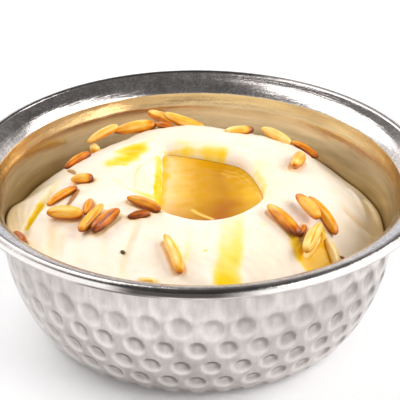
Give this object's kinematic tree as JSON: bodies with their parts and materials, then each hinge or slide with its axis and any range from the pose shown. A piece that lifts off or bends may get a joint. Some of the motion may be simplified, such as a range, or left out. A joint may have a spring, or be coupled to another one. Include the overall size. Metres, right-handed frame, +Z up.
{
  "type": "bowl of hummus",
  "caption": "Hammered steel bowl with a wide rolled rim, filled with a domed ring of smooth hummus round a pool of olive oil, and topped with toasted pine nuts.",
  "frame": {"origin": "centre of the bowl's flat base, on the surface it stands on", "axes": "+Z up out of the bowl; -Y towards the front of the dish, where the smooth slope of hummus faces; +X to the right as seen from the front"},
  "size_m": [0.1498, 0.1498, 0.054],
  "materials": {
    "steel": "satin",
    "hummus": "satin",
    "olive_oil": "gloss",
    "toasted_gold": "satin",
    "toasted_brown": "satin",
    "toasted_pale": "satin",
    "toasted_dark": "satin"
  },
  "bodies": {
    "root": {"bowl": "steel", "hummus": "hummus", "olive_oil": "olive_oil", "pine_nut_01": "toasted_brown", "pine_nut_02": "toasted_gold", "pine_nut_03": "toasted_brown", "pine_nut_04": "toasted_gold", "pine_nut_05": "toasted_gold", "pine_nut_06": "toasted_pale", "pine_nut_07": "toasted_pale", "pine_nut_08": "toasted_dark", "pine_nut_09": "toasted_gold", "pine_nut_10": "toasted_pale", "pine_nut_11": "toasted_brown", "pine_nut_12": "toasted_gold", "pine_nut_13": "toasted_pale", "pine_nut_14": "toasted_dark", "pine_nut_15": "toasted_pale", "pine_nut_16": "toasted_brown", "pine_nut_17": "toasted_dark", "pine_nut_18": "toasted_pale", "pine_nut_19": "toasted_gold", "pine_nut_20": "toasted_brown", "pine_nut_21": "toasted_gold", "pine_nut_22": "toasted_gold", "pine_nut_23": "toasted_pale", "pine_nut_24": "toasted_brown", "pine_nut_25": "toasted_dark", "pine_nut_26": "toasted_dark", "pine_nut_27": "toasted_gold", "pine_nut_28": "toasted_pale", "pine_nut_29": "toasted_dark"}
  },
  "joints": []
}
